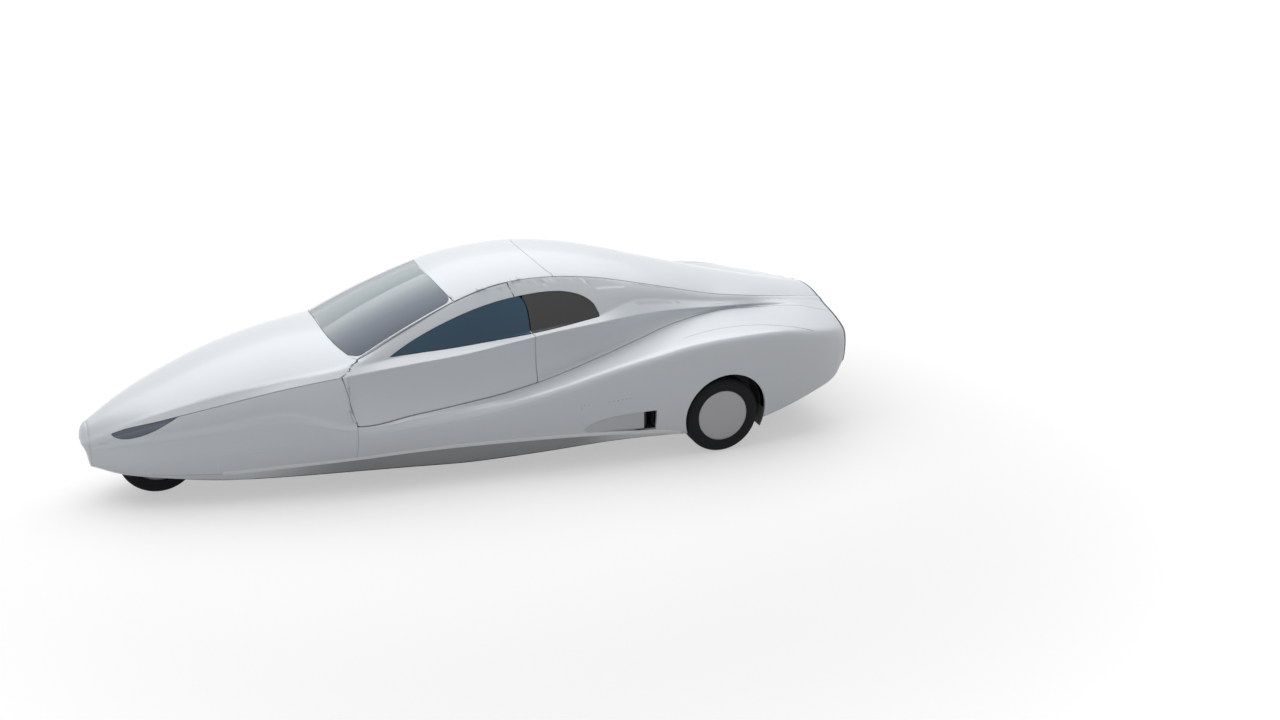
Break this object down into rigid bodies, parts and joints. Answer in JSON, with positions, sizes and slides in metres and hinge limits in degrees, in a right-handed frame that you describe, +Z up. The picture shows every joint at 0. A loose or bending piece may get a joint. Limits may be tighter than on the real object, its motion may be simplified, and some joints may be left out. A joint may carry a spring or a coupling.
{
  "type": "flying car",
  "caption": "Low wedge-nosed flying car with a bubble cabin, gull-wing doors, stowed wings and a tail fan, as it stands on the road.",
  "frame": {"origin": "on the ground under the middle of the length, in the plane of symmetry", "axes": "+X to the nose, +Y to the left side, +Z up"},
  "size_m": [5.34, 1.7754, 1.4342],
  "materials": {
    "body_paint": "silver-white metallic lacquer",
    "tinted_glass": "blue tinted, clear",
    "lamp_lens": "smoked clear lens",
    "tail_lens": "red lens, gloss",
    "dark_trim": "fine grained, satin",
    "bare_metal": "machined, satin",
    "cast_metal": "cast, matt",
    "cabin_lining": "woven, matt",
    "cabin_trim": "soft touch, matt",
    "seat_leather": "smooth hide, satin",
    "wheel_cover": "plain satin grey disc",
    "tyre_rubber": "rubber, matt",
    "fan_blades": "moulded composite, satin"
  },
  "bodies": {
    "body": {"hood": "body_paint", "nose_cap": "body_paint", "front_sides": "body_paint", "headlamps": "lamp_lens", "windscreen": "tinted_glass", "roof": "body_paint", "rear_deck": "body_paint", "rear_sides": "body_paint", "quarter_glass": "tinted_glass", "pods": "body_paint", "sills": "dark_trim", "nose_tray": "dark_trim", "floor_pan": "dark_trim", "rear_tray": "dark_trim", "tail_panel": "dark_trim", "tail_lamps": "tail_lens", "intake_ducts": "bare_metal", "cabin_frame": "cabin_lining", "firewall": "cabin_lining", "rear_bulkhead": "cabin_lining", "dashboard": "cabin_lining", "steering_wheel": "cabin_trim", "seats": "seat_leather", "door_hinges": "bare_metal", "front_wheel_well": "dark_trim", "rear_wheel_wells": "dark_trim", "steering_head": "bare_metal", "rear_arms": "bare_metal", "engine_block": "cast_metal", "jack_pads": "bare_metal", "fan_duct": "dark_trim", "fan_stator": "bare_metal"},
    "door_left_body": {"door_left": "body_paint", "door_glass_left": "tinted_glass"},
    "door_right_body": {"door_right": "body_paint", "door_glass_right": "tinted_glass"},
    "fork_body": {"front_fork": "bare_metal"},
    "front_wheel_body": {"front_wheel": "wheel_cover", "front_tyre": "tyre_rubber"},
    "wheel_left_body": {"rear_wheel_left": "wheel_cover", "rear_tyre_left": "tyre_rubber"},
    "wheel_right_body": {"rear_wheel_right": "wheel_cover", "rear_tyre_right": "tyre_rubber"},
    "fan_body": {"fan": "fan_blades"}
  },
  "joints": [
    {"name": "door_left_swing", "type": "hinge", "parent": "body", "child": "door_left_body", "pos_m": [0, 0.44267, 1.29436], "axis": [0.9911, 0.0799, -0.106], "range_deg": [0, 75]},
    {"name": "door_right_swing", "type": "hinge", "parent": "body", "child": "door_right_body", "pos_m": [0, -0.44267, 1.29436], "axis": [-0.9911, 0.0799, 0.106], "range_deg": [0, 75]},
    {"name": "steering", "type": "hinge", "parent": "body", "child": "fork_body", "pos_m": [2.175, 0, 0.272], "axis": [-0.1045, 0, 0.9945], "range_deg": [-25, 25]},
    {"name": "front_wheel_spin", "type": "hinge", "parent": "fork_body", "child": "front_wheel_body", "pos_m": [2.175, 0, 0.272], "axis": [0, 1, 0], "continuous": true},
    {"name": "rear_wheel_left_spin", "type": "hinge", "parent": "body", "child": "wheel_left_body", "pos_m": [-1.615, 0.7655, 0.272], "axis": [0, 1, 0], "continuous": true},
    {"name": "rear_wheel_right_spin", "type": "hinge", "parent": "body", "child": "wheel_right_body", "pos_m": [-1.615, -0.7655, 0.272], "axis": [0, 1, 0], "continuous": true},
    {"name": "fan_spin", "type": "hinge", "parent": "body", "child": "fan_body", "pos_m": [-2.33, 0, 0.635], "axis": [1, 0, 0], "continuous": true}
  ]
}
